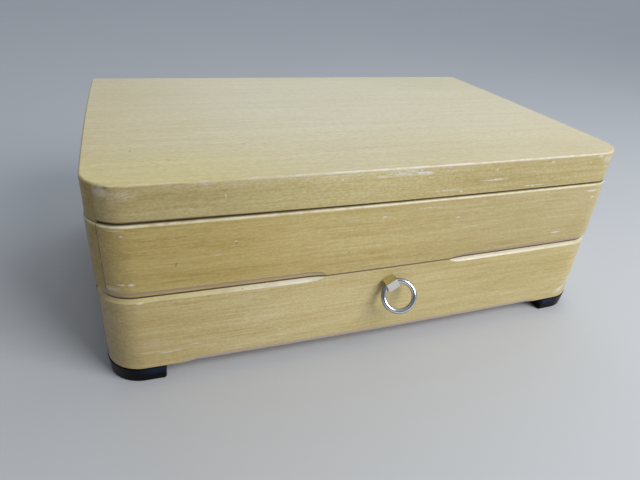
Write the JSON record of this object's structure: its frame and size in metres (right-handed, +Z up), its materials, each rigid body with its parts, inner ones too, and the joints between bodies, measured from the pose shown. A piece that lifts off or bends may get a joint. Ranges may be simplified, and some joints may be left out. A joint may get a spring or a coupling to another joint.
{
  "type": "jewelry box",
  "caption": "Pale wooden jewelry box with rounded front corners, a hinged mirrored lid over a lined compartment, and a drawer below with a ring pull, on black corner feet.",
  "frame": {"origin": "middle of the overall footprint, ring pull included, at the level of the feet", "axes": "+X to the right seen from the front, +Y to the back, +Z up"},
  "size_m": [0.3226, 0.2242, 0.1193],
  "materials": {
    "pale_wood": "clear satin varnish over pale close-grained wood, yellowed and scuffed at the edges",
    "plywood": "thin unvarnished plywood",
    "inner_wood": "planed, unvarnished",
    "velvet": "short-pile velvet over card or foam",
    "mirror": "silvered glass",
    "black_plastic": "satin black moulding",
    "brass": "brass plated",
    "chrome": "bright chrome plate",
    "satin_nickel": "satin nickel plate",
    "steel": "zinc plated"
  },
  "bodies": {
    "case": {"bottom_panel": "plywood", "case_back": "pale_wood", "case_front": "pale_wood", "case_side_left": "pale_wood", "case_side_right": "pale_wood", "compartment_floor": "plywood", "compartment_pad": "velvet", "divider_back_left": "velvet", "divider_back_right": "velvet", "divider_front": "velvet", "divider_long": "velvet", "drawer_stop": "inner_wood", "foot_back_left": "black_plastic", "foot_back_right": "black_plastic", "foot_front_left": "black_plastic", "foot_front_right": "black_plastic", "foot_screws": "steel", "hinge_case_leaf_left": "brass", "hinge_case_leaf_right": "brass", "hinge_case_screws": "brass", "hinge_pin_left": "brass", "hinge_pin_right": "brass", "lining_back": "velvet", "lining_front": "velvet", "lining_left": "velvet", "lining_right": "velvet", "ring_rolls": "velvet"},
    "lid": {"hinge_lid_leaf_left": "brass", "hinge_lid_leaf_right": "brass", "hinge_lid_screws": "brass", "lid_back_rail": "pale_wood", "lid_core_panel": "plywood", "lid_front_rail": "pale_wood", "lid_left_rail": "pale_wood", "lid_lining": "velvet", "lid_mirror": "mirror", "lid_right_rail": "pale_wood", "lid_top_veneer": "pale_wood"},
    "drawer": {"drawer_back": "inner_wood", "drawer_bottom": "plywood", "drawer_divider_left": "velvet", "drawer_divider_long": "velvet", "drawer_divider_right": "velvet", "drawer_front": "pale_wood", "drawer_pad": "velvet", "drawer_side_left": "inner_wood", "drawer_side_right": "inner_wood", "drawer_wall_lining": "velvet"},
    "pull": {"pull_loop": "satin_nickel", "pull_nut": "steel", "pull_stud": "steel", "pull_washer": "steel"},
    "ring": {"ring_pull": "chrome"}
  },
  "joints": [
    {"name": "lid_hinge", "type": "hinge", "parent": "case", "child": "lid", "pos_m": [0, 0.108, 0.09875], "axis": [-1, 0, 0], "range_deg": [0, 100]},
    {"name": "drawer_slide", "type": "slide", "parent": "case", "child": "drawer", "axis": [0, -1, 0], "range_m": [0, 0.128]},
    {"name": "pull_swivel", "type": "hinge", "parent": "drawer", "child": "pull", "pos_m": [0.0017, -0.09784, 0.0471], "axis": [0, -1, 0], "range_deg": [-119, 61]},
    {"name": "ring_swing", "type": "hinge", "parent": "pull", "child": "ring", "pos_m": [0.0017, -0.10039, 0.0471], "axis": [-0.8746, 0, -0.4848], "range_deg": [-33, 130]}
  ]
}
